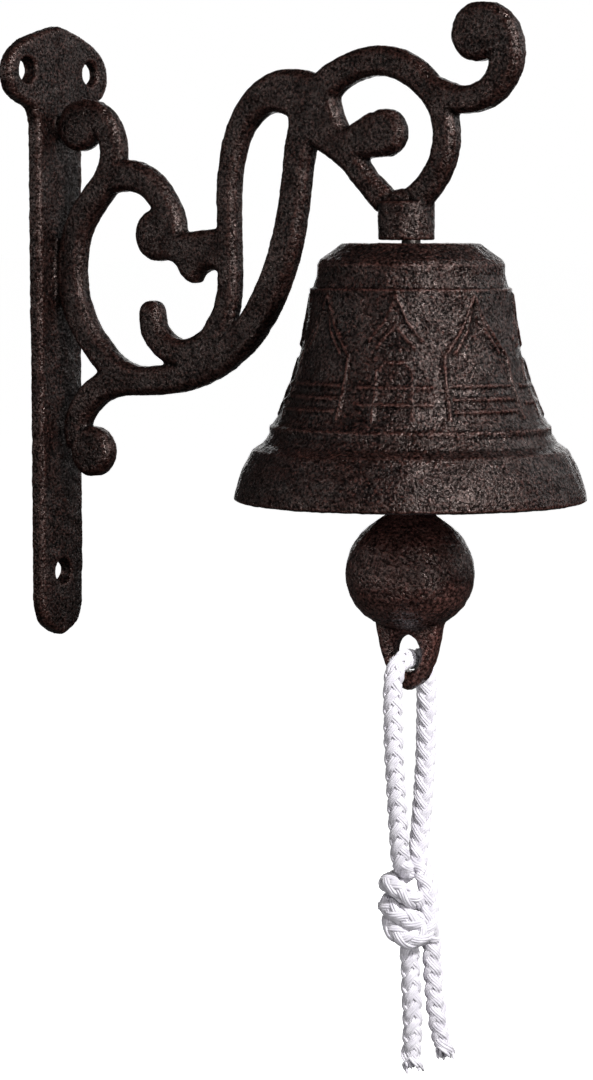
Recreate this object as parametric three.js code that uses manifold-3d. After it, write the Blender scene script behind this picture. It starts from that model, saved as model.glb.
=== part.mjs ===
// Wall mounted bell: a cast-iron scroll bracket with a bell bolted under its ring,
// a clapper hooked on a link inside the bell, and a knotted pull rope.
// Millimetres. The origin is on the plate's back face, midway up: +X leaves the wall, +Z is up,
// and the whole bracket is drawn in the plane Y = 0.

import * as THREE from 'three';
import * as BufferGeometryUtils from 'three/addons/utils/BufferGeometryUtils.js';
import Module from 'manifold-3d';

const wasm = await Module();
wasm.setup();

// ---------- driving dimensions ----------

const GAP = 0.3;                    // clearance kept between pieces that touch

const PLATE_THICKNESS = 4.0;
const PLATE_TOP = 92.2;             // the head's point
const PLATE_BOTTOM = -92.6;         // the strap's pointed foot
const PLATE_OFFSET = 0.7;           // the plate's middle lies a little to the scrollwork's far side
const STRAP_HALF_WIDTH = 10.9;
const HEAD_HALF_WIDTH = 24.4;
const SCREW_HOLE = { back: 3.1, front: 4.25 };      // radii, wider towards the screw's head
const HEAD_HOLE = [15.6, 78.5];     // Y and Z of the head's holes, one each side
const FOOT_HOLE_Z = -73.0;
const RIDGE_Y = 2.8;                // the plate's front slopes away beyond this line

const BAR_DEPTH = 6.4;              // the scrollwork's size along Y
const BAR_ROUND = 1.5;              // rounding of the bars' edges

const BELL_X = 130.8;               // the bell's axis from the wall
const BOSS_X = 129.2;               // the boss is cast a little nearer the wall than its bolt
const BOSS_RADIUS = 7.9;
const BOSS_TOP = 38.5;
const BOSS_BOTTOM = 28.0;
const CROWN_TOP = 27.0;
const CROWN_INSIDE = 22.5;
const BOLT_RADIUS = 2.7;
const BOLT_TOP = 35.0;
const BOLT_HOLE_RADIUS = 3.2;
const WASHER = { radius: 8.0, thickness: 1.2 };
const NUT = { acrossCorners: 11.5, thickness: 4.5 };

const EYE = { radius: 5.0, wire: 1.8, z: 6.5 };         // the bolt's eye, ring centre line
const LINK = { radius: 4.2, wire: 1.5, stretch: 1.95 };
const LINK_TOP = EYE.z - EYE.radius + EYE.wire + GAP + LINK.wire;
const LINK_BOTTOM = LINK_TOP - 2 * (LINK.radius + LINK.stretch);
const CLAPPER_EYE = { radius: 4.6, wire: 1.9 };
const CLAPPER_EYE_Z = LINK_BOTTOM + LINK.wire + CLAPPER_EYE.wire + GAP - CLAPPER_EYE.radius;
const ROPE_TAB_DEPTH = 6.4;

const ROPE_RADIUS = 3.1;
const ROPE_SIDES = 10;
const KNOT_TOP = -150.2;
const KNOT_BOTTOM = -172.0;

// ---------- materials ----------

const iron = { color: 0x2b2321, roughness: 0.72, metalness: 0.65 };
const steel = { color: 0x6f6a66, roughness: 0.5, metalness: 0.9 };
const cotton = { color: 0xe6e2ea, roughness: 0.95, metalness: 0.0 };

// ---------- helpers ----------

const group = new THREE.Group();

function addPart(name, geometry, finish) {
  const mesh = new THREE.Mesh(geometry, new THREE.MeshStandardMaterial(finish));
  mesh.name = name;
  group.add(mesh);
  return mesh;
}

function toSolid(geometry) {
  const bare = geometry.clone();
  bare.deleteAttribute('normal');
  bare.deleteAttribute('uv');
  const merged = BufferGeometryUtils.mergeVertices(bare, 1e-4);
  return new wasm.Manifold(new wasm.Mesh({
    numProp: 3,
    vertProperties: new Float32Array(merged.attributes.position.array),
    triVerts: new Uint32Array(merged.index.array),
  }));
}

function toGeometry(solid) {
  const mesh = solid.getMesh();
  const geometry = new THREE.BufferGeometry();
  geometry.setAttribute('position', new THREE.BufferAttribute(mesh.vertProperties, 3));
  geometry.setIndex(new THREE.BufferAttribute(mesh.triVerts, 1));
  return geometry;
}

function join(geometries) {
  return geometries.map(toSolid).reduce((whole, piece) => whole.add(piece));
}

// A flat shape drawn in X and Z, given its depth along Y, centred on Y = 0, edges rounded.
function plateXZ(shape, depth, round, segments = 1) {
  const geometry = new THREE.ExtrudeGeometry(shape, {
    depth: depth - 2 * round,
    bevelEnabled: round > 0,
    bevelThickness: round,
    bevelSize: round,
    bevelOffset: -round,
    bevelSegments: segments,
    curveSegments: 10,
  });
  geometry.translate(0, 0, -(depth / 2 - round));
  return geometry.rotateX(Math.PI / 2);
}

function slab(x0, x1) {
  const tall = 400;
  return toSolid(new THREE.BoxGeometry(x1 - x0, tall, tall).translate((x0 + x1) / 2, 0, 0));
}

// Everything past the leaning cut, starting the given distance beyond it.
function beyondTip(start) {
  return slab(start, CUTS.end).rotate([0, -TIP_CUT.lean, 0]).translate([TIP_CUT.x, 0, TIP_CUT.z]);
}

function cylinderZ(radius, z0, z1, sides = 24) {
  return new THREE.CylinderGeometry(radius, radius, z1 - z0, sides)
    .rotateX(Math.PI / 2)
    .translate(0, 0, (z0 + z1) / 2);
}

function lathe(profile, sides) {
  const points = profile.map(([r, z]) => new THREE.Vector2(r, z));
  return new THREE.LatheGeometry(points, sides).rotateX(Math.PI / 2);
}

// A closed ring of wire standing in the XZ plane, its hole facing Y.
function ringXZ({ radius, wire }, z) {
  return new THREE.TorusGeometry(radius, wire, 8, 20).rotateX(Math.PI / 2).translate(0, 0, z);
}

// ---------- wall plate ----------

// One half of the plate's outline, from the head's point down to the foot's, as Y and Z.
const HEAD_CURVE = [
  [0, PLATE_TOP], [9.2, 89.8], [17, 87.0], [22.3, 83.0], [HEAD_HALF_WIDTH, 77.6],
  [22.2, 72.0], [17, 69.0], [12.6, 67.2], [STRAP_HALF_WIDTH, 62.5],
];
const FOOT_CURVE = [[10.1, -83.5], [8.3, -88.0], [4.6, -90.8], [0, PLATE_BOTTOM]];
// The plate's cross-section, as X and Y: flat on the near side, sloping on the far side.
const PLATE_SECTION = [
  [0, -30], [PLATE_THICKNESS, -30], [PLATE_THICKNESS, RIDGE_Y], [2.9, 10.7], [2.6, 30], [0, 30],
];

function curve2(points, steps) {
  return new THREE.SplineCurve(points.map(([a, b]) => new THREE.Vector2(a, b))).getPoints(steps);
}

// A closed outline from its right half, listed from the top down.
function mirroredShape(half) {
  const onAxis = (p) => Math.abs(p.x) < 1e-6;
  const other = half.filter((p) => !onAxis(p)).map((p) => new THREE.Vector2(-p.x, p.y));
  return new THREE.Shape([...other, ...half.slice().reverse()]);
}

// A tapered hole right through the plate, reaching past both of its faces.
function screwHole(y, z) {
  const past = 1;
  const widening = (SCREW_HOLE.front - SCREW_HOLE.back) / PLATE_THICKNESS;
  const cone = new THREE.CylinderGeometry(
    SCREW_HOLE.front + widening * past, SCREW_HOLE.back - widening * past,
    PLATE_THICKNESS + 2 * past, 28,
  );
  return toSolid(cone.rotateZ(-Math.PI / 2).translate(PLATE_THICKNESS / 2, y, z));
}

function buildPlate() {
  const outline = mirroredShape([...curve2(HEAD_CURVE, 26), ...curve2(FOOT_CURVE, 9)]);
  const edge = 0.9;
  const blank = new THREE.ExtrudeGeometry(outline, {
    depth: PLATE_THICKNESS,
    bevelThickness: edge,
    bevelSize: edge,
    bevelOffset: -edge,
    bevelSegments: 1,
    curveSegments: 12,
  });
  blank.translate(0, 0, -edge).rotateX(Math.PI / 2).rotateZ(Math.PI / 2);
  const section = new THREE.Shape(PLATE_SECTION.map(([x, y]) => new THREE.Vector2(x, y)));
  const prism = new THREE.ExtrudeGeometry(section, { depth: 220, bevelEnabled: false });
  prism.translate(0, 0, -110);
  const plate = toSolid(blank).translate([0, PLATE_OFFSET, 0]).intersect(toSolid(prism));
  const holes = [[-HEAD_HOLE[0], HEAD_HOLE[1]], HEAD_HOLE, [0, FOOT_HOLE_Z]];
  return holes.reduce((drilled, [y, z]) => drilled.subtract(screwHole(y + PLATE_OFFSET, z)), plate);
}

// ---------- scroll bracket ----------

// Each bar follows a curve through a few points of [X, Z, width].
const SCROLL_BARS = [
  // upper curl over the strap, down the near side of the big loop and along its bottom
  [[13.5, 66.2, 8], [19.5, 64.6, 8], [24, 59, 8], [24.8, 52, 8], [22.3, 45.5, 8.4], [16.3, 39, 8.6],
    [11, 31, 8.6], [8.8, 21, 9], [9.5, 11, 9], [13, 2.5, 8.4], [19, -5.2, 8.2], [25.8, -11.2, 8.2],
    [33, -13.9, 8.4]],
  // arm over the big loop to its inner curl
  [[24.5, 46.5, 9], [31.5, 47, 9], [38.4, 44.6, 8.2], [43.6, 39.2, 8], [46.8, 33, 8.2], [47.3, 28, 7]],
  // tall loop: up the near leg, over the top and into the mass beside the ring
  [[62.5, 0, 8], [66.4, 7, 7.2], [67.7, 14, 6.8], [67.6, 30, 6.5], [67.6, 44, 6.8], [69.4, 54.5, 7],
    [73.3, 62.8, 8], [79.3, 68.4, 9.6], [86, 70.4, 12], [93, 69.4, 14], [99, 67, 15]],
  // tall loop: down the far leg, along the bottom and into the curl at the strap
  [[95, 61, 10], [92.6, 52, 8.8], [91.1, 41, 8.6], [87.9, 26, 9.3], [83.1, 14, 9.5], [76.5, 3.5, 9.5],
    [68.5, -4, 9.5], [60, -9.3, 9], [50, -12.6, 8.6], [38, -14, 8.4], [28, -14.3, 8.6],
    [20, -16.6, 8.6], [13, -22.5, 8.2], [10.3, -29, 8], [11.5, -34, 8]],
  // curl that rises inside the big loop
  [[66.8, 8, 7.4], [62.8, 0, 8], [56.5, -4.4, 8.2], [50, -5.7, 8.2], [43.9, -3.3, 8], [40, 1, 7.8],
    [39.1, 5.8, 7.6]],
  // mass between the tall loop and the ring
  [[98, 70, 14], [97.6, 61.5, 16], [97.2, 57, 11]],
  // ring, clockwise from the mass
  [[97.5, 66.5, 10], [103.4, 72.7, 9.2], [110.8, 76.5, 8.4], [120, 78.3, 8.2], [128.3, 76.5, 8.2],
    [135.5, 71.7, 7.6], [140.7, 65.1, 7.2], [142.6, 57.5, 7.2], [141.3, 49.8, 7.2], [137.4, 43.6, 7.4],
    [132.6, 39, 8]],
  // lower near side of the ring
  [[96.5, 62, 9], [100.2, 58, 8], [106.0, 54.6, 7.8], [111.6, 49.8, 7.2], [116.0, 44.7, 6.5],
    [122.8, 38.4, 7.2]],
  // neck of the ring's inner curl
  [[108, 53.5, 9], [112.5, 55.5, 10], [119.5, 57.6, 13]],
  // near side of the ring's opening, beside the mass
  [[101.5, 68, 8], [103.2, 62, 8], [106, 57, 8]],
  // arm and curl at the bracket's tip
  [[136.5, 71, 6.4], [141, 68.4, 7.7], [148, 66.6, 7.4], [155.5, 68, 7.8], [160.6, 72.6, 8.8],
    [162.3, 79, 9.6], [160.8, 85.2, 9.4], [156.4, 88.9, 8.6], [151.5, 89.3, 7]],
];
// Round ends of the curls, and last the fill over the boss: X, Z and radius.
const SCROLL_EYES = [
  [12.3, 62, 7.4], [41.9, 29.4, 7.7], [16.5, -35.8, 7.4], [39.2, 6, 3.8], [122.2, 58, 6.6],
  [153, 85.1, 8], [128, 36.6, 5.6],
];
// Web between the big loop's inner curl and the tall loop, with its pointed lower edge.
const WEB_TOP = [[45, 29.5], [66, 31.3]];
const WEB_EDGE = [
  [66, 18.6], [61.3, 19.3], [58, 17.8], [56, 15.4], [53.6, 15.8], [50.9, 17.9], [48.3, 21.4], [45, 22],
];
// Where the bracket is divided along X, and the leaning cut between the ring and the tip.
const CUTS = { foot: PLATE_THICKNESS + GAP, loop: 62, ring: 97.3, end: 200 };
const TIP_CUT = { x: 145.8, z: 68, lean: 5.8 };

function barShape(points) {
  const spine = new THREE.CatmullRomCurve3(
    points.map(([x, z, width]) => new THREE.Vector3(x, z, width)),
    false,
    'centripetal',
  );
  const steps = Math.round(spine.getLength() / 3.2);
  const stations = spine.getPoints(steps);
  const left = [];
  const right = [];
  stations.forEach((p, i) => {
    const next = stations[Math.min(i + 1, steps)];
    const last = stations[Math.max(i - 1, 0)];
    const along = new THREE.Vector2(next.x - last.x, next.y - last.y).normalize();
    const half = p.z / 2;
    left.push(new THREE.Vector2(p.x - along.y * half, p.y + along.x * half));
    right.push(new THREE.Vector2(p.x + along.y * half, p.y - along.x * half));
  });
  return new THREE.Shape([...right, ...left.reverse()]);
}

function discShape([x, z, radius]) {
  return new THREE.Shape().absarc(x, z, radius, 0, Math.PI * 2);
}

function webShape() {
  const lower = curve2(WEB_EDGE, 16);
  return new THREE.Shape([...WEB_TOP.map(([x, z]) => new THREE.Vector2(x, z)), ...lower]);
}

function buildScroll() {
  const shapes = [...SCROLL_BARS.map(barShape), ...SCROLL_EYES.map(discShape), webShape()];
  const bars = join(shapes.map((shape) => plateXZ(shape, BAR_DEPTH, BAR_ROUND)));
  const boss = cylinderZ(BOSS_RADIUS, BOSS_BOTTOM, BOSS_TOP, 28).translate(BOSS_X, 0, 0);
  const boltHole = cylinderZ(BOLT_RADIUS + GAP, BOSS_BOTTOM - 5, BOLT_TOP + GAP, 24)
    .translate(BELL_X, 0, 0);
  return bars.add(toSolid(boss)).subtract(toSolid(boltHole));
}

// ---------- bell ----------

// The bell's wall as radius and Z: up the outside from the lip, then down the inside.
const BELL_PROFILE = [
  [48.6, -46.0], [50.0, -45.3], [49.7, -43.2], [47.8, -37.2], [45.3, -32.3], [44.6, -31.2],
  [41.6, -29.2], [39.9, -26.6], [39.9, -24.6], [38.9, -23.8], [37.2, -21.3], [33.3, -11.8],
  [31.0, -3.2], [29.2, 6.5], [28.5, 12.6], [28.4, 14.2], [27.5, 14.6], [26.5, 18.2], [26.5, 21.0],
  [25.6, 22.3], [19.3, CROWN_TOP], [BOLT_HOLE_RADIUS, CROWN_TOP], [BOLT_HOLE_RADIUS, CROWN_INSIDE],
  [15.5, CROWN_INSIDE], [20.3, 20.8], [22.4, 17.5], [24.3, 8], [26.6, -1], [29.6, -11.8],
  [33.6, -20.8], [38.4, -28.6], [43.2, -36.6], [45.9, -43.6], [46.6, -45.4],
];
const BELL_SIDES = 48;

// ---------- clapper ----------

// Shank and ball as radius and Z.
const CLAPPER_PROFILE = [
  [0, CLAPPER_EYE_Z - CLAPPER_EYE.radius + 0.8], [3.2, -13.5], [3.5, -22], [4.2, -34], [4.9, -43],
  [5.9, -48.9], [9.3, -51.3], [11.6, -52.9], [13.8, -54.9], [15.6, -57.1], [17.0, -59.8],
  [18.0, -63.0], [18.4, -66.4], [18.2, -69.4], [17.3, -72.6], [15.6, -75.6], [13.2, -78.2],
  [10.2, -80.3], [6.0, -81.8], [0, -82.5],
];
// Half widths of the rope tab under the ball, as X and Z.
const TAB_EDGE = [[11.4, -76.5], [10.3, -83], [8.8, -89], [7.1, -93.4], [4.3, -97.6], [0, -100]];
const TAB_HOLE = { halfWidth: 4.7, top: -83.9, bottom: -94.5 };

function buildClapper() {
  const tab = mirroredShape(curve2(TAB_EDGE, 12));
  const middle = (TAB_HOLE.top + TAB_HOLE.bottom) / 2;
  const height = (TAB_HOLE.top - TAB_HOLE.bottom) / 2;
  tab.holes.push(new THREE.Path()
    .absellipse(0, middle, TAB_HOLE.halfWidth, height, 0, Math.PI * 2, true));
  return join([
    lathe(CLAPPER_PROFILE.toReversed(), 36),
    ringXZ(CLAPPER_EYE, CLAPPER_EYE_Z),
    plateXZ(tab, ROPE_TAB_DEPTH, 1.4),
  ]);
}

// ---------- hanger bolt, washer, nut and link ----------

function buildBolt() {
  const shank = cylinderZ(BOLT_RADIUS, EYE.z + EYE.radius - 0.6, BOLT_TOP);
  return join([shank, ringXZ(EYE, EYE.z)]);
}

function buildCollar(outer, sides, top, thickness) {
  const ring = toSolid(cylinderZ(outer, top - thickness, top, sides));
  const hole = cylinderZ(BOLT_RADIUS + GAP, top - thickness - 1, top + 1);
  return ring.subtract(toSolid(hole));
}

// A link of wire in the YZ plane: a ring pulled apart into an oval.
function buildLink() {
  const ring = new THREE.TorusGeometry(LINK.radius, LINK.wire, 8, 20).rotateX(Math.PI / 2);
  const place = ring.attributes.position;
  for (let i = 0; i < place.count; i += 1) {
    const z = place.getZ(i);
    place.setZ(i, Math.abs(z) < 1e-6 ? 0 : z + Math.sign(z) * LINK.stretch);
  }
  return ring.rotateZ(Math.PI / 2).translate(0, 0, (LINK_TOP + LINK_BOTTOM) / 2);
}

// ---------- pull rope ----------

// Routes of the rope measured from the bell's axis: X, Y and Z. Each strand leaves the tab's hole
// on its own side and drops to the knot, and each tail hangs from the knot.
const ROPE_ROUTES = {
  rope_strand_front: [
    [0, -0.2, -91.1], [0, -3.3, -91.0], [0, -6.4, -92.2], [0, -8.2, -95.2], [0, -8.8, -99.5],
    [0.1, -8.7, -107], [0.2, -8.3, -117], [0.3, -7.3, -128], [0.2, -5.8, -140], [0.1, -4.9, KNOT_TOP + GAP],
  ],
  rope_strand_back: [
    [0, 0.2, -91.1], [0, 3.3, -91.0], [0, 6.4, -92.2], [0, 8.2, -95.2], [0, 8.8, -99.5],
    [0.1, 8.7, -107], [0.2, 8.3, -117], [0.3, 7.3, -128], [0.2, 5.8, -140], [0.1, 4.6, KNOT_TOP + GAP],
  ],
  rope_tail_long: [
    [0.2, 0, KNOT_BOTTOM - GAP], [0.5, 0.2, -182], [1.0, 0.2, -191], [1.2, 0.2, -200],
    [1.0, 0, -212],
  ],
  rope_tail_short: [
    [4.6, 4.9, KNOT_BOTTOM - GAP], [5.0, 5.2, -182], [5.6, 5.6, -191], [6.8, 6.4, -200],
    [8.4, 7.6, -208.5],
  ],
};
// The knot's outer shape as radius and Z.
const KNOT_PROFILE = [
  [0, KNOT_TOP], [6.6, KNOT_TOP], [8.3, -154], [8.9, -160], [8.7, -166], [8.0, -170],
  [7.2, KNOT_BOTTOM], [0, KNOT_BOTTOM],
];

function buildRope(route) {
  const path = new THREE.CatmullRomCurve3(route.map((p) => new THREE.Vector3(...p)), false, 'centripetal');
  const section = new THREE.Shape();
  for (let i = 0; i < ROPE_SIDES; i += 1) {
    const turn = (i / ROPE_SIDES) * Math.PI * 2;
    const corner = [ROPE_RADIUS * Math.cos(turn), ROPE_RADIUS * Math.sin(turn)];
    if (i === 0) section.moveTo(...corner);
    else section.lineTo(...corner);
  }
  const steps = Math.round(path.getLength() / (2 * ROPE_RADIUS));
  return new THREE.ExtrudeGeometry(section, { steps, extrudePath: path, bevelEnabled: false });
}

// ---------- assembly ----------

addPart('wall_plate', toGeometry(buildPlate()), iron);

const scroll = buildScroll();
addPart('scroll_big_loop', toGeometry(scroll.intersect(slab(CUTS.foot, CUTS.loop - GAP / 2))), iron);
addPart('scroll_tall_loop', toGeometry(
  scroll.intersect(slab(CUTS.loop + GAP / 2, CUTS.ring - GAP / 2)),
), iron);
addPart('scroll_ring', toGeometry(
  scroll.intersect(slab(CUTS.ring + GAP / 2, CUTS.end)).subtract(beyondTip(-GAP / 2)),
), iron);
addPart('scroll_tip', toGeometry(scroll.intersect(beyondTip(GAP / 2))), iron);

const hanging = {
  hanger_bolt: [toGeometry(buildBolt()), steel],
  crown_washer: [
    toGeometry(buildCollar(WASHER.radius, 24, CROWN_INSIDE - GAP, WASHER.thickness)), steel,
  ],
  crown_nut: [
    toGeometry(buildCollar(
      NUT.acrossCorners / 2, 6, CROWN_INSIDE - WASHER.thickness - 2 * GAP, NUT.thickness,
    )),
    steel,
  ],
  bell: [lathe([...BELL_PROFILE, BELL_PROFILE[0]], BELL_SIDES), iron],
  clapper_link: [buildLink(), steel],
  clapper: [toGeometry(buildClapper()), iron],
  rope_knot: [lathe(KNOT_PROFILE.toReversed(), 20), cotton],
};
Object.entries(hanging).forEach(([name, [geometry, finish]]) => {
  addPart(name, geometry, finish).position.x = BELL_X;
});
Object.entries(ROPE_ROUTES).forEach(([name, route]) => {
  addPart(name, buildRope(route), cotton).position.x = BELL_X;
});

export default group;
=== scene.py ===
"""The looks of a wall mounted bell: a sand-cast iron scroll bracket, its bell and clapper, the
steel that hangs them, and a knotted pull rope of braided cotton.

Metres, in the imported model's frame."""

import math
import random

import bpy
import numpy as np
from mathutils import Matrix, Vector


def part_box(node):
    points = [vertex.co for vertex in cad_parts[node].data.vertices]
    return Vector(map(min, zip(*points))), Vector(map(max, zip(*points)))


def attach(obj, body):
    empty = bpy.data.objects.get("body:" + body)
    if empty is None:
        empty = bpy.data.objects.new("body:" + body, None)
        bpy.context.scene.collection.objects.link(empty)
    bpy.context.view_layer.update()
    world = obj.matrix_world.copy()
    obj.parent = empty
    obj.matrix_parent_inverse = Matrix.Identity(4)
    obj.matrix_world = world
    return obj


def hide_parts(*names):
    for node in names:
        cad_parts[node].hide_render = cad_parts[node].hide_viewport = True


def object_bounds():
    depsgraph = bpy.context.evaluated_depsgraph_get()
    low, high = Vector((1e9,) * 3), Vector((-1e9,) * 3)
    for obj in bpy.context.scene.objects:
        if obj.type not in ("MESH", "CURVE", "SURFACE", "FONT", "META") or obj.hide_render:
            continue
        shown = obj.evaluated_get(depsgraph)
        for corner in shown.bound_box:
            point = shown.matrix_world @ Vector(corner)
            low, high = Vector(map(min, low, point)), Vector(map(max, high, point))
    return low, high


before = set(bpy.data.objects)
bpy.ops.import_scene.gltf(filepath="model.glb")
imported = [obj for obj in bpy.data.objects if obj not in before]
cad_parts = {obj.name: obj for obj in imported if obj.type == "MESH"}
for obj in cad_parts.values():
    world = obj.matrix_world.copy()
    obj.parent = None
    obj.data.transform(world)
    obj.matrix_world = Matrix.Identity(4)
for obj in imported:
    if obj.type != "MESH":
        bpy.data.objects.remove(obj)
cad_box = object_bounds()

MM = 0.001
SCROLL_NODES = ("scroll_big_loop", "scroll_tall_loop", "scroll_ring", "scroll_tip")

bell_low, bell_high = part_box("bell")
BELL_X = (bell_low.x + bell_high.x) / 2
VIEW_TURN = math.radians(35)        # the camera's turn about Z, also used to lay out the knot


# ---------- camera ----------

def make_camera():
    """Level with the bell's crown, looking along the wall from the bracket's free end."""
    data = bpy.data.cameras.new("camera")
    data.lens = 110
    camera = bpy.data.objects.new("camera", data)
    camera.location = (0.6396, -0.7829, 0.0270)
    camera.rotation_euler = (math.radians(90 - 5.143), 0, VIEW_TURN)
    bpy.context.scene.collection.objects.link(camera)
    bpy.context.scene.camera = camera


# ---------- meshes ----------

def new_object(name, verts, faces, smooth=True):
    mesh = bpy.data.meshes.new(name)
    mesh.from_pydata([tuple(v) for v in verts], [], faces)
    mesh.update()
    if smooth:
        mesh.polygons.foreach_set("use_smooth", [True] * len(mesh.polygons))
    piece = bpy.data.objects.new(name, mesh)
    bpy.context.scene.collection.objects.link(piece)
    return piece


def bake_modifiers(piece):
    """Makes the piece's modifiers part of its mesh."""
    graph = bpy.context.evaluated_depsgraph_get()
    final = bpy.data.meshes.new_from_object(piece.evaluated_get(graph))
    piece.modifiers.clear()
    piece.data = final
    final.polygons.foreach_set("use_smooth", [True] * len(final.polygons))


def add_lumps(piece, size, height, seed):
    """Uneven sand-cast surface: soft noise of that size and height. The seed shifts the pattern."""
    texture = bpy.data.textures.new(f"{piece.name}_lumps_{seed}", "CLOUDS")
    texture.noise_scale = size
    texture.noise_depth = 1
    shift = bpy.data.objects.new(f"{piece.name}_shift_{seed}", None)
    shift.location = (seed * 0.37, seed * 0.11, seed * 0.23)
    bpy.context.scene.collection.objects.link(shift)
    modifier = piece.modifiers.new("lumps", "DISPLACE")
    modifier.texture = texture
    modifier.texture_coords = "OBJECT"
    modifier.texture_coords_object = shift
    modifier.strength = height
    modifier.mid_level = 0.5
    bpy.context.view_layer.update()
    return shift


SKIN_VOXEL = 0.5 * MM


def casting(name, nodes, swell, rounds, body):
    """One skin over the named CAD nodes, with filleted corners and a sand-cast surface."""
    verts = []
    faces = []
    for node in nodes:
        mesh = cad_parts[node].data
        start = len(verts)
        verts += [v.co.copy() for v in mesh.vertices]
        faces += [[start + i for i in p.vertices] for p in mesh.polygons]
    piece = new_object(name, verts, faces)
    weld = piece.modifiers.new("weld", "WELD")
    weld.merge_threshold = 0.01 * MM
    if swell:
        thicken = piece.modifiers.new("swell", "DISPLACE")
        thicken.strength = swell
        thicken.mid_level = 0
    remesh = piece.modifiers.new("remesh", "REMESH")
    remesh.mode = "VOXEL"
    remesh.voxel_size = SKIN_VOXEL
    smooth = piece.modifiers.new("smooth", "SMOOTH")
    smooth.factor = 0.5
    smooth.iterations = rounds
    shifts = [
        add_lumps(piece, 3.2 * MM, 0.40 * MM, 1),
        add_lumps(piece, 0.6 * MM, 0.16 * MM, 2),
    ]
    bake_modifiers(piece)
    for shift in shifts:
        bpy.data.objects.remove(shift)
    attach(piece, body)
    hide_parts(*nodes)
    return piece


# ---------- rope ----------

ROPE_RING = 0.5 * MM                # spacing of the rings along the rope
PLAIT_TURN = 19 * MM                # length of one turn of a plaited strand
YARNS = 4                           # yarns side by side in each of the eight strands
YARN_SIDES = 6
YARN_RADIUS = 0.46 * MM
YARN_GAP = 0.74                     # millimetres between the middles of neighbouring yarns
WEAVE_RADIUS = 2.22                 # millimetres from the rope's middle to a strand's
WEAVE_DEPTH = 0.40                  # millimetres that a strand rises over the others, or dips
FRAY_RINGS = 18                     # rings at a tail's end where the yarns spread apart
LOOSE_RINGS = 8                     # rings at a tail's end where the yarns stop one by one

# The cord's two halves, from the tab's hole through the knot to the tails' ends: millimetres
# from the bell's axis in X and Y, and Z.
STRAND_FRONT = [
    (0, 0, -91.1), (0, -3.3, -91.0), (0, -6.4, -92.2), (0, -8.2, -95.2), (0, -8.8, -99.5),
    (0.1, -8.7, -107), (0.2, -8.3, -117), (0.3, -7.3, -128), (0.2, -5.8, -140),
]
STRAND_BACK = [
    (0, 0, -91.1), (0, 3.3, -91.0), (0, 6.4, -92.2), (0, 8.2, -95.2), (0, 8.8, -99.5),
    (0.1, 8.7, -107), (0.2, 8.3, -117), (0.3, 7.3, -128), (0.2, 5.8, -140),
]
TAIL_LONG = [(0.2, 0, -173.5), (0.5, 0.2, -182), (1.0, 0.2, -191), (1.2, 0.2, -200), (1.0, 0, -211)]
TAIL_SHORT = [
    (4.6, 4.9, -173.5), (5.0, 5.2, -182), (5.6, 5.6, -191), (6.8, 6.4, -200), (8.3, 7.5, -207.6),
]
# Inside the knot: across the view, towards the camera, and Z.
KNOT_FRONT = [
    (-2.4, 2.8, -149), (-0.8, -1.0, -152.4), (-3.6, -3.2, -155.2), (-6.0, 0.4, -155.6),
    (-3.6, 4.2, -156.4), (0.4, 4.6, -159.2), (2.6, 1.0, -160.6), (1.6, -2.8, -161.2),
    (-3.0, -4.2, -161.2), (-6.2, -0.8, -161.8), (-4.0, 3.6, -163.2), (0.4, 4.8, -165.2),
    (4.4, 3.0, -167.4), (6.2, -0.4, -170.6),
]
KNOT_BACK = [
    (2.6, -2.6, -149), (4.2, -0.6, -153.0), (5.6, 1.4, -157.6), (5.8, 2.4, -163.0),
    (4.8, 4.0, -168.0), (1.0, 5.2, -170.8), (-3.2, 4.0, -169.6), (-5.2, 0.4, -167.0),
    (-3.6, -3.2, -165.6), (-0.2, -4.4, -167.4), (0.4, -2.0, -170.8),
]


def from_view(across, towards, z):
    """A knot point turned from the camera's directions to X and Y."""
    x = across * math.cos(VIEW_TURN) + towards * math.sin(VIEW_TURN)
    y = across * math.sin(VIEW_TURN) - towards * math.cos(VIEW_TURN)
    return x, y, z


def smooth_path(points, spacing):
    """Points a fixed spacing apart on a smooth curve through the given millimetre points."""
    knots = [Vector((x * MM + BELL_X, y * MM, z * MM)) for x, y, z in points]
    knots = [2 * knots[0] - knots[1], *knots, 2 * knots[-1] - knots[-2]]
    fine = []
    for a, b, c, d in zip(knots, knots[1:], knots[2:], knots[3:]):
        for i in range(24):
            t = i / 24
            fine.append(0.5 * (
                2 * b + (c - a) * t + (2 * a - 5 * b + 4 * c - d) * t * t
                + (3 * b - a - 3 * c + d) * t ** 3
            ))
    fine.append(knots[-2])
    walked = np.cumsum([0] + [(q - p).length for p, q in zip(fine, fine[1:])])
    count = int(walked[-1] / spacing) + 1
    places = np.linspace(0, walked[-1], count)
    axes = [np.interp(places, walked, [p[i] for p in fine]) for i in range(3)]
    return [Vector(p) for p in zip(*axes)]


def carried_frames(path):
    """Two directions square to the path at each point, carried along it without twisting."""
    along = [(b - a).normalized() for a, b in zip(path, path[1:])]
    along.append(along[-1])
    side = along[0].orthogonal().normalized()
    frames = []
    for direction in along:
        side = (side - side.dot(direction) * direction).normalized()
        frames.append((side, direction.cross(side)))
    return frames


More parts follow.
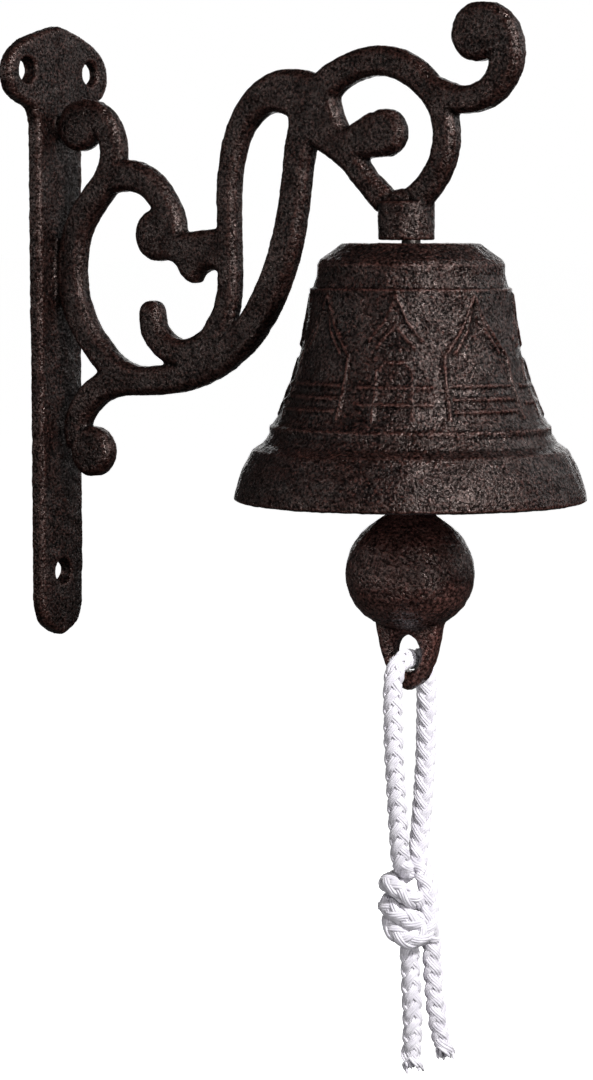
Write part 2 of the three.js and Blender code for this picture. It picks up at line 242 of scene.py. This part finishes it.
def plaited_yarn(path, frames, turn_sign, strand, yarn, end, rng):
    """Points down the middle of one yarn of an eight-strand plait, to its own frayed end."""
    place = yarn - (YARNS - 1) / 2
    spread = place * YARN_GAP * MM
    fray_angle = rng.uniform(0, math.tau)
    fray_reach = rng.uniform(0.3, 2.2) * MM
    end_reach = rng.uniform(0.15, 1.3)
    wander = rng.uniform(0, math.tau)
    wander_turn = rng.uniform(4, 8) * MM
    points = []
    for i, (centre, (u, v)) in enumerate(zip(path[:end], frames)):
        walked = i * ROPE_RING
        turn = math.tau * walked / PLAIT_TURN
        angle = turn_sign * (turn + strand * math.pi / 2) + (math.pi / 4 if turn_sign < 0 else 0)
        weave = math.sin(2 * angle + turn_sign * 0.35)
        over = turn_sign * math.tanh(1.8 * weave)
        radius = (WEAVE_RADIUS + WEAVE_DEPTH * over - 0.09 * place ** 2) * MM
        radius += 0.07 * MM * math.sin(math.tau * walked / wander_turn + wander)
        slope = spread / max(radius, MM)
        angle += turn_sign * slope
        loose = max(0.0, (i - (len(path) - FRAY_RINGS)) / FRAY_RINGS)
        outward = math.cos(angle) * u + math.sin(angle) * v
        point = centre + radius * (1 + loose * (end_reach - 1)) * outward
        point += loose ** 2 * fray_reach * (math.cos(fray_angle) * u + math.sin(fray_angle) * v)
        points.append(point)
    return points


def add_tube(verts, faces, points, radius):
    """A yarn's round skin, closed at both ends by its last ring drawn to a point."""
    frames = carried_frames(points)
    start = len(verts)
    for i, (centre, (u, v)) in enumerate(zip(points, frames)):
        size = radius * (0.35 if i in (0, len(points) - 1) else 1)
        for k in range(YARN_SIDES):
            angle = math.tau * k / YARN_SIDES
            verts.append(centre + size * (math.cos(angle) * u + math.sin(angle) * v))
    for i in range(len(points) - 1):
        for k in range(YARN_SIDES):
            a = start + i * YARN_SIDES + k
            b = start + i * YARN_SIDES + (k + 1) % YARN_SIDES
            faces.append((a, b, b + YARN_SIDES, a + YARN_SIDES))
    faces.append(tuple(start + k for k in reversed(range(YARN_SIDES))))
    last = start + (len(points) - 1) * YARN_SIDES
    faces.append(tuple(last + k for k in range(YARN_SIDES)))


def make_rope_half(name, strand, knot, tail, seed):
    rng = random.Random(seed)
    points = [*strand, *[from_view(*p) for p in knot], *tail]
    path = smooth_path(points, ROPE_RING)
    frames = carried_frames(path)
    verts = []
    faces = []
    for turn_sign in (1, -1):
        for number in range(4):
            for yarn in range(YARNS):
                end = len(path) - rng.randrange(0, LOOSE_RINGS)
                middle = plaited_yarn(path, frames, turn_sign, number, yarn, end, rng)
                add_tube(verts, faces, middle, YARN_RADIUS)
    piece = new_object(name, verts, faces)
    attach(piece, "rope")
    return piece, path


def make_rope():
    front, front_path = make_rope_half("rope_front", STRAND_FRONT, KNOT_FRONT, TAIL_SHORT, 3)
    back, back_path = make_rope_half("rope_back", STRAND_BACK, KNOT_BACK, TAIL_LONG, 8)
    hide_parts("rope_strand_front", "rope_tail_short", "rope_knot")
    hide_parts("rope_strand_back", "rope_tail_long")
    return [front, back]


# ---------- bell ----------

# The bell's wall in millimetres, as radius and Z: up the outside from the lip, over the crown to
# the bolt's hole and down the inside.
BELL_OUTSIDE = [
    (48.6, -46.0), (50.0, -45.3), (49.7, -43.2), (47.8, -37.2), (45.3, -32.3), (44.6, -31.2),
    (41.6, -29.2), (39.9, -26.6), (39.9, -24.6), (38.9, -23.8), (37.2, -21.3), (33.3, -11.8),
    (31.0, -3.2), (29.2, 6.5), (28.5, 12.6), (28.4, 14.2), (27.5, 14.6), (26.5, 18.2),
    (26.5, 21.0), (25.6, 22.3), (19.3, 27.0),
]
BELL_INSIDE = [
    (3.2, 27.0), (3.2, 22.5), (15.5, 22.5), (20.3, 20.8), (22.4, 17.5), (24.3, 8), (26.6, -1),
    (29.6, -11.8), (33.6, -20.8), (38.4, -28.6), (43.2, -36.6), (45.9, -43.6), (46.6, -45.4),
]
BELL_COLUMNS = 640
BELL_STEP = 0.38                     # millimetres between the rings of the relief
CELLS = 8                            # gables round the bell

# The relief is drawn in one pair of cells, unrolled: millimetres round the bell from the gable's
# middle, and Z. Each line is a ridge.
WIDE_GABLE = [
    [(-10.8, -4.0), (-4.6, 4.0), (0, 12.6), (4.6, 4.0), (10.8, -4.0)],
    [(-7.6, -3.0), (-3.2, 3.0), (-1.4, 9.0)], [(7.6, -3.0), (3.2, 3.0), (1.4, 9.0)],
    [(-10.8, -4.0), (-10.8, -21.0)], [(10.8, -4.0), (10.8, -21.0)],
    [(-9.4, -12.0), (9.4, -12.0)], [(-9.4, -15.6), (9.4, -15.6)], [(-9.4, -19.0), (9.4, -19.0)],
]
NARROW_GABLE = [
    [(-7.6, 0.5), (-3.4, 5.5), (0, 12.6), (3.4, 5.5), (7.6, 0.5)],
    [(-5.2, -1.5), (0, 4.6), (5.2, -1.5)],
    [(-4.7, -21.0), (-4.7, -8.0), (-2.6, -5.6), (2.6, -5.6), (4.7, -8.0), (4.7, -21.0)],
    [(-9.6, -12.4), (9.6, -12.4)], [(-9.6, -17.0), (9.6, -17.0)],
]
RIDGE_HEIGHT = 0.75
RELIEF_TURN = math.radians(20)
RIDGE_WIDTH = 0.62
UNROLL_RADIUS = 31.0


def profile_points(profile, step):
    """The profile with points added so that none are further apart than the step."""
    points = []
    for (r0, z0), (r1, z1) in zip(profile, profile[1:]):
        pieces = max(1, round(math.hypot(r1 - r0, z1 - z0) / step))
        for i in range(pieces):
            points.append((r0 + (r1 - r0) * i / pieces, z0 + (z1 - z0) * i / pieces))
    return [*points, profile[-1]]


def distance_to_line(s, z, line):
    nearest = np.full(s.shape, 1e9)
    for (s0, z0), (s1, z1) in zip(line, line[1:]):
        ds = s1 - s0
        dz = z1 - z0
        t = np.clip(((s - s0) * ds + (z - z0) * dz) / (ds * ds + dz * dz), 0, 1)
        nearest = np.minimum(nearest, np.hypot(s - s0 - t * ds, z - z0 - t * dz))
    return nearest


def relief_height(angle, z):
    """How far the bell's relief stands out at each angle and Z, in millimetres."""
    cell_angle = math.tau / CELLS
    angle = angle + RELIEF_TURN
    cell = np.floor(angle / cell_angle + 0.5)
    s = (angle - cell * cell_angle) * UNROLL_RADIUS
    height = np.zeros(angle.shape)
    for parity, gable in ((0, WIDE_GABLE), (1, NARROW_GABLE)):
        here = (cell.astype(int) % 2) == parity
        for line in gable:
            ridge = RIDGE_HEIGHT * np.exp(-(distance_to_line(s, z, line) / RIDGE_WIDTH) ** 2)
            height = np.where(here, np.maximum(height, ridge), height)
    return height


def make_bell():
    outside = profile_points(BELL_OUTSIDE, BELL_STEP)
    inside = profile_points(BELL_INSIDE, 2.0)
    rings = np.array([*outside, *inside])
    columns = np.arange(BELL_COLUMNS) * math.tau / BELL_COLUMNS
    angle, r = np.meshgrid(columns, rings[:, 0])
    z = np.meshgrid(columns, rings[:, 1])[1]
    outer = np.arange(len(rings))[:, None] < len(outside)
    zone = np.clip((z + 22.6) / 1.2, 0, 1) * np.clip((14.0 - z) / 1.2, 0, 1)
    r = r + np.where(outer, relief_height(angle, z) * zone, 0)
    verts = np.stack([r * np.cos(angle), r * np.sin(angle), z], axis=2).reshape(-1, 3) * MM
    verts[:, 0] += BELL_X
    faces = []
    for i in range(len(rings)):
        upper = ((i + 1) % len(rings)) * BELL_COLUMNS
        for k in range(BELL_COLUMNS):
            after = (k + 1) % BELL_COLUMNS
            lower = i * BELL_COLUMNS
            faces.append((lower + k, lower + after, upper + after, upper + k))
    piece = new_object("bell_casting", verts, faces)
    shifts = [add_lumps(piece, 4.0 * MM, 0.45 * MM, 3), add_lumps(piece, 0.6 * MM, 0.2 * MM, 4)]
    smooth = piece.modifiers.new("smooth", "SMOOTH")
    smooth.factor = 0.5
    smooth.iterations = 2
    bake_modifiers(piece)
    for shift in shifts:
        bpy.data.objects.remove(shift)
    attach(piece, "bell")
    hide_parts("bell")
    return piece


# ---------- materials ----------

def new_material(name):
    material = bpy.data.materials.new(name)
    material.use_nodes = True
    nodes = material.node_tree.nodes
    return material, nodes, material.node_tree.links, nodes["Principled BSDF"]


def noise(nodes, links, size, detail=2.0, roughness=0.5, stretch=(1, 1, 1)):
    """Noise whose features are about the given size, in the object's own space."""
    place = nodes.new("ShaderNodeTexCoord")
    mapping = nodes.new("ShaderNodeMapping")
    mapping.inputs["Scale"].default_value = stretch
    texture = nodes.new("ShaderNodeTexNoise")
    texture.inputs["Scale"].default_value = 1 / size
    texture.inputs["Detail"].default_value = detail
    texture.inputs["Roughness"].default_value = roughness
    links.new(place.outputs["Object"], mapping.inputs["Vector"])
    links.new(mapping.outputs["Vector"], texture.inputs["Vector"])
    return texture.outputs["Fac"]


def ramp(nodes, links, source, stops):
    """A colour ramp through the stops, each a position and a colour or a grey value."""
    node = nodes.new("ShaderNodeValToRGB")
    elements = node.color_ramp.elements
    while len(elements) < len(stops):
        elements.new(0.5)
    for element, (position, value) in zip(elements, stops):
        element.position = position
        element.color = (*value, 1) if isinstance(value, tuple) else (value, value, value, 1)
    links.new(source, node.inputs["Fac"])
    return node.outputs["Color"]


def mix(nodes, links, factor, first, second, kind="MIX"):
    node = nodes.new("ShaderNodeMix")
    node.data_type = "RGBA"
    node.blend_type = kind
    for socket, value in ((node.inputs["Factor"], factor), (node.inputs["A"], first),
                          (node.inputs["B"], second)):
        if isinstance(value, bpy.types.NodeSocket):
            links.new(value, socket)
        elif isinstance(value, tuple):
            socket.default_value = (*value, 1)
        else:
            socket.default_value = value
    return node.outputs["Result"]


def bump(nodes, links, height, strength, distance, under=None):
    node = nodes.new("ShaderNodeBump")
    node.inputs["Strength"].default_value = strength
    node.inputs["Distance"].default_value = distance
    links.new(height, node.inputs["Height"])
    if under is not None:
        links.new(under, node.inputs["Normal"])
    return node.outputs["Normal"]


def iron_material(name, dark, light, rub, gloss):
    """Sand-cast iron, finished dark brown: redder and brighter on its ridges, with painted shade
    that darkens its concave places and the low spots of its grain.
    """
    material, nodes, links, shader = new_material(name)
    patches = ramp(nodes, links, noise(nodes, links, 7 * MM, 3), [(0.38, 0.0), (0.62, 1.0)])
    colour = mix(nodes, links, patches, dark, light)
    specks = ramp(nodes, links, noise(nodes, links, 0.9 * MM, 3, 0.7), [(0.5, 0.0), (0.7, 1.0)])
    colour = mix(nodes, links, mix(nodes, links, 0.55, (0, 0, 0), specks), colour, rub)
    shape = nodes.new("ShaderNodeNewGeometry")
    ridges = ramp(nodes, links, shape.outputs["Pointiness"], [(0.50, 0.0), (0.56, 1.0)])
    colour = mix(nodes, links, mix(nodes, links, 0.6, (0, 0, 0), ridges), colour, rub)
    # Painted shade: concave places, where the Pointiness is low, are darkened down to a quarter.
    hollow_shade = ramp(nodes, links, shape.outputs["Pointiness"], [(0.42, 0.25), (0.5, 1.0)])
    sand = noise(nodes, links, 0.8 * MM, 2, 0.6)
    # Painted shade: the low spots of the grain's noise, which also drives the bump, are darkened in
    # colour and in specular level.
    pit_shade = ramp(nodes, links, sand, [(0.40, 0.12), (0.60, 1.0)])
    # All the painted shade together: concave places and the grain's low spots.
    shade = mix(nodes, links, 1.0, hollow_shade, pit_shade, "MULTIPLY")
    colour = mix(nodes, links, 1.0, colour, shade, "MULTIPLY")
    links.new(colour, shader.inputs["Base Color"])
    shader.inputs["Metallic"].default_value = 0.0
    sheen = ramp(nodes, links, noise(nodes, links, 6 * MM, 4, 0.6),
                 [(0.36, gloss * 0.35), (0.64, gloss)])
    links.new(mix(nodes, links, 1.0, sheen, shade, "MULTIPLY"), shader.inputs["Specular IOR Level"])
    shader.inputs["Specular Tint"].default_value = (1.0, 0.80, 0.74, 1)
    shine = ramp(nodes, links, noise(nodes, links, 1.1 * MM, 3, 0.7), [(0.4, 0.20), (0.6, 0.45)])
    links.new(shine, shader.inputs["Roughness"])
    grain = bump(nodes, links, sand, 1.0, 0.45 * MM)
    links.new(grain, shader.inputs["Normal"])
    return material


def steel_material():
    material, nodes, links, shader = new_material("dark_steel")
    patches = ramp(nodes, links, noise(nodes, links, 3 * MM, 3), [(0.35, 0.0), (0.7, 1.0)])
    links.new(mix(nodes, links, patches, (0.10, 0.09, 0.085), (0.19, 0.165, 0.15)),
              shader.inputs["Base Color"])
    shader.inputs["Metallic"].default_value = 0.9
    scuffs = ramp(nodes, links, noise(nodes, links, 0.8 * MM, 3), [(0.3, 0.35), (0.7, 0.55)])
    links.new(scuffs, shader.inputs["Roughness"])
    grain = bump(nodes, links, noise(nodes, links, 0.4 * MM, 2), 0.3, 0.08 * MM)
    links.new(grain, shader.inputs["Normal"])
    return material


def cotton_material():
    """Spun cotton: off-white yarns with fine fibres and a soft sheen."""
    material, nodes, links, shader = new_material("white_cotton")
    tone = ramp(nodes, links, noise(nodes, links, 2.5 * MM, 3), [(0.3, 0.0), (0.7, 1.0)])
    colour = mix(nodes, links, tone, (0.46, 0.44, 0.485), (0.62, 0.60, 0.64))
    links.new(colour, shader.inputs["Base Color"])
    shader.inputs["Roughness"].default_value = 0.92
    shader.inputs["Sheen Weight"].default_value = 0.35
    shader.inputs["Sheen Roughness"].default_value = 0.5
    shader.inputs["Specular IOR Level"].default_value = 0.2
    fibres = noise(nodes, links, 0.16 * MM, 3, 0.7, stretch=(1, 1, 0.35))
    links.new(bump(nodes, links, fibres, 0.7, 0.1 * MM), shader.inputs["Normal"])
    return material


def dress(piece, material):
    piece.data.materials.clear()
    piece.data.materials.append(material)


# ---------- studio ----------

SURROUND_LIGHT = 0.05
FLOOR_GLOW = 0.95
FLOOR_DROP = 0.12                   # the floor's distance under the object
FLOOR_HALF = 60.0


def area_light(name, place, target, size, power):
    data = bpy.data.lights.new(name, "AREA")
    data.shape = "DISK"
    data.size = size
    data.energy = power
    light = bpy.data.objects.new(name, data)
    light.location = place
    light.rotation_euler = (Vector(target) - Vector(place)).to_track_quat("-Z", "Y").to_euler()
    bpy.context.scene.collection.objects.link(light)


def make_world():
    """A surround that the camera sees as white, and that lights the object only faintly."""
    world = bpy.data.worlds.new("studio")
    world.use_nodes = True
    nodes = world.node_tree.nodes
    links = world.node_tree.links
    seen = nodes.new("ShaderNodeBackground")
    seen.inputs["Color"].default_value = (1, 1, 1, 1)
    seen.inputs["Strength"].default_value = 1.0
    lighting = nodes["Background"]
    lighting.inputs["Color"].default_value = (1, 1, 1, 1)
    lighting.inputs["Strength"].default_value = SURROUND_LIGHT
    rays = nodes.new("ShaderNodeLightPath")
    choose = nodes.new("ShaderNodeMixShader")
    links.new(rays.outputs["Is Camera Ray"], choose.inputs["Fac"])
    links.new(lighting.outputs["Background"], choose.inputs[1])
    links.new(seen.outputs["Background"], choose.inputs[2])
    links.new(choose.outputs["Shader"], nodes["World Output"].inputs["Surface"])
    bpy.context.scene.world = world


def make_studio():
    target = (0.09, 0, -0.03)
    area_light("key", (0.80, -0.22, 0.45), target, 0.10, 14.5)
    area_light("front", (0.95, -0.55, 0.02), target, 0.12, 4.5)
    area_light("low_left", (0.02, -0.95, -0.10), target, 0.14, 2.4)
    area_light("left", (-0.55, -0.60, 0.25), target, 0.30, 1.5)
    area_light("rim", (0.55, 0.70, 0.35), target, 0.7, 2.4)
    area_light("back", (-0.35, 0.80, 0.10), target, 0.7, 3)
    make_world()
    floor_z = cad_box[0][2] - FLOOR_DROP
    corners = [(x * FLOOR_HALF, y * FLOOR_HALF, floor_z)
               for x, y in ((-1, -1), (1, -1), (1, 1), (-1, 1))]
    floor = new_object("floor", corners, [(0, 1, 2, 3)], smooth=False)
    material, _, _, shader = new_material("floor")
    shader.inputs["Base Color"].default_value = (0.93, 0.93, 0.93, 1)
    shader.inputs["Roughness"].default_value = 0.9
    shader.inputs["Emission Color"].default_value = (1, 1, 1, 1)
    shader.inputs["Emission Strength"].default_value = FLOOR_GLOW
    dress(floor, material)
    floor.visible_diffuse = False
    floor.visible_glossy = False
    bpy.context.scene.view_settings.view_transform = "Standard"


# ---------- assembly ----------

make_camera()
rope_pieces = make_rope()

iron = iron_material("bracket_iron", (0.0022, 0.0017, 0.0016), (0.0075, 0.0040, 0.0034),
                     (0.060, 0.023, 0.018), 0.55)
bell_iron = iron_material("bell_iron", (0.0024, 0.0018, 0.0018), (0.0085, 0.0042, 0.0036),
                          (0.075, 0.029, 0.023), 0.52)
clapper_iron = iron_material("clapper_iron", (0.0120, 0.0055, 0.0048), (0.0330, 0.0140, 0.0115),
                             (0.180, 0.072, 0.060), 1.0)
steel = steel_material()
cotton = cotton_material()

for rope_piece in rope_pieces:
    dress(rope_piece, cotton)

bracket = casting("bracket_casting", ("wall_plate", *SCROLL_NODES), 0.2 * MM, 6,
                  "bracket")
dress(bracket, iron)
dress(make_bell(), bell_iron)
dress(casting("clapper_casting", ("clapper",), 0, 5, "clapper"), clapper_iron)
for node in ("hanger_bolt", "crown_washer", "crown_nut", "clapper_link"):
    dress(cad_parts[node], steel)

make_studio()
